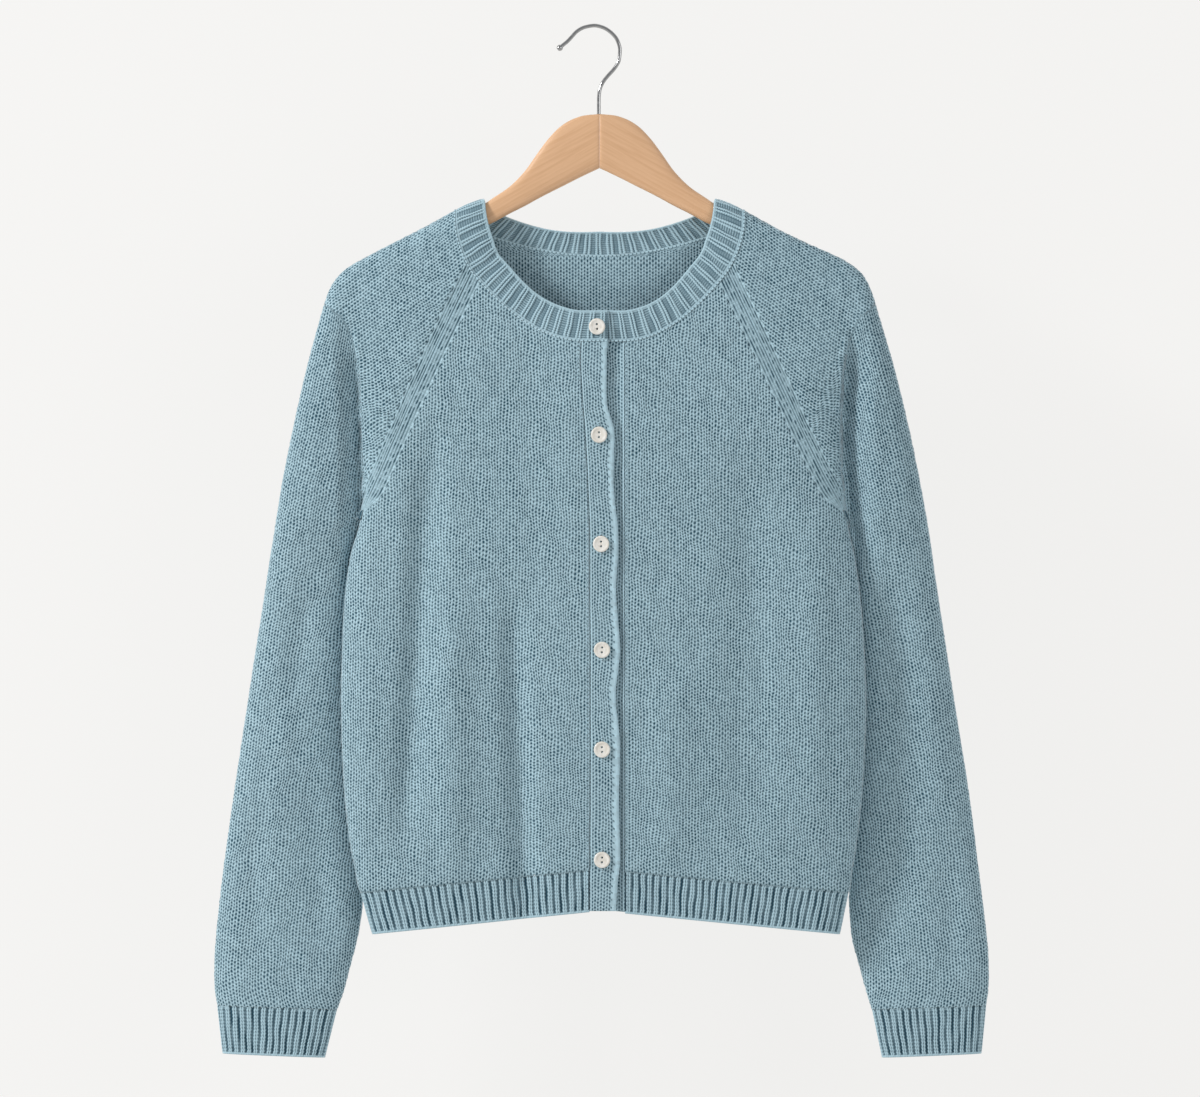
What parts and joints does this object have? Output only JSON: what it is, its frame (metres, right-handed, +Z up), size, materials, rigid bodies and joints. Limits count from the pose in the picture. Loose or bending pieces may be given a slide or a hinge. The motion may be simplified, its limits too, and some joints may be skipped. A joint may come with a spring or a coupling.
{
  "type": "button cardigan on a wooden hanger",
  "caption": "Raglan knit cardigan with a round ribbed neck, buttoned placket, ribbed hem and cuffs, hanging on a wooden hanger with a wire hook.",
  "frame": {"origin": "inner top of the hanger's hook, where it is held", "axes": "+X to the wearer's left, +Y to the garment's back, +Z up"},
  "size_m": [0.652, 0.0644, 0.8689],
  "materials": {
    "knit": "matte cotton knit, dusty blue",
    "wood": "satin beech",
    "chrome": "bright",
    "shell": "pearly off-white"
  },
  "bodies": {
    "root": {"back_panel": "knit", "right_front": "knit", "left_front": "knit", "right_sleeve": "knit", "left_sleeve": "knit", "neckband": "knit", "buttonhole_band": "knit", "button_band": "knit", "hem_back": "knit", "hem_right_front": "knit", "hem_left_front": "knit", "right_cuff": "knit", "left_cuff": "knit", "button_1": "shell", "button_2": "shell", "button_3": "shell", "button_4": "shell", "button_5": "shell", "button_6": "shell", "hanger_right_arm": "wood", "hanger_left_arm": "wood", "hanger_hook": "chrome"}
  },
  "joints": []
}
